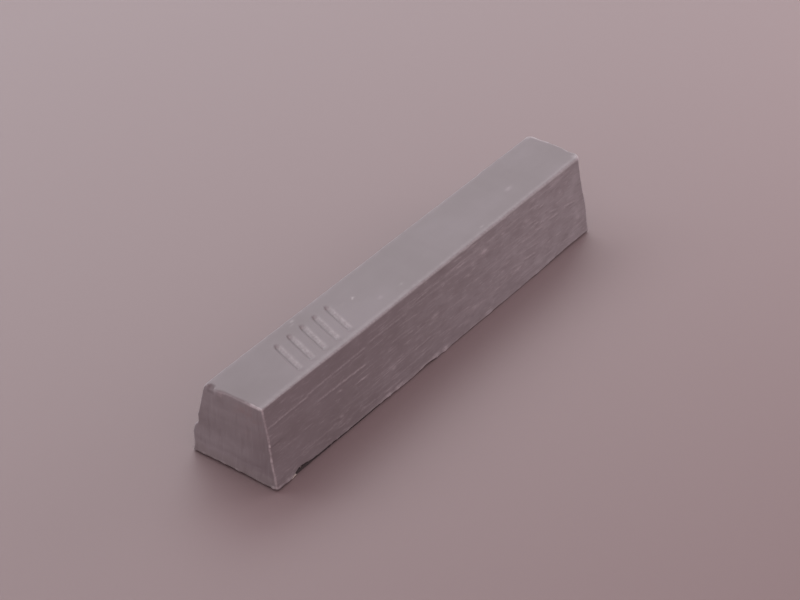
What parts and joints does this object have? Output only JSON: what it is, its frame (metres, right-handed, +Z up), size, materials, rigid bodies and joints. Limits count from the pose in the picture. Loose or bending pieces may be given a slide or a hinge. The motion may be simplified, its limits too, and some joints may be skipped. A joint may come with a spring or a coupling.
{
  "type": "furniture repair wax stick",
  "caption": "Solid bar of hard repair wax, trapezoid in section with a wide flat base, drafted sides and sunk hatch marks on top; rubbed or melted into scratches in wood.",
  "frame": {"origin": "centre of the flat base that the stick lies on", "axes": "+X along the bar, away from the end with the sunk marks; +Z up out of the narrow top face; the chipped bottom corner is at -X, -Y"},
  "size_m": [0.0812, 0.0148, 0.013],
  "materials": {
    "wax": "satin hard wax, dark mauve-brown, with a pale bloom",
    "wax_crumb": "matt broken wax, paler than the bar"
  },
  "bodies": {
    "root": {"wax_bar": "wax", "flash_crumbs": "wax_crumb"}
  },
  "joints": []
}
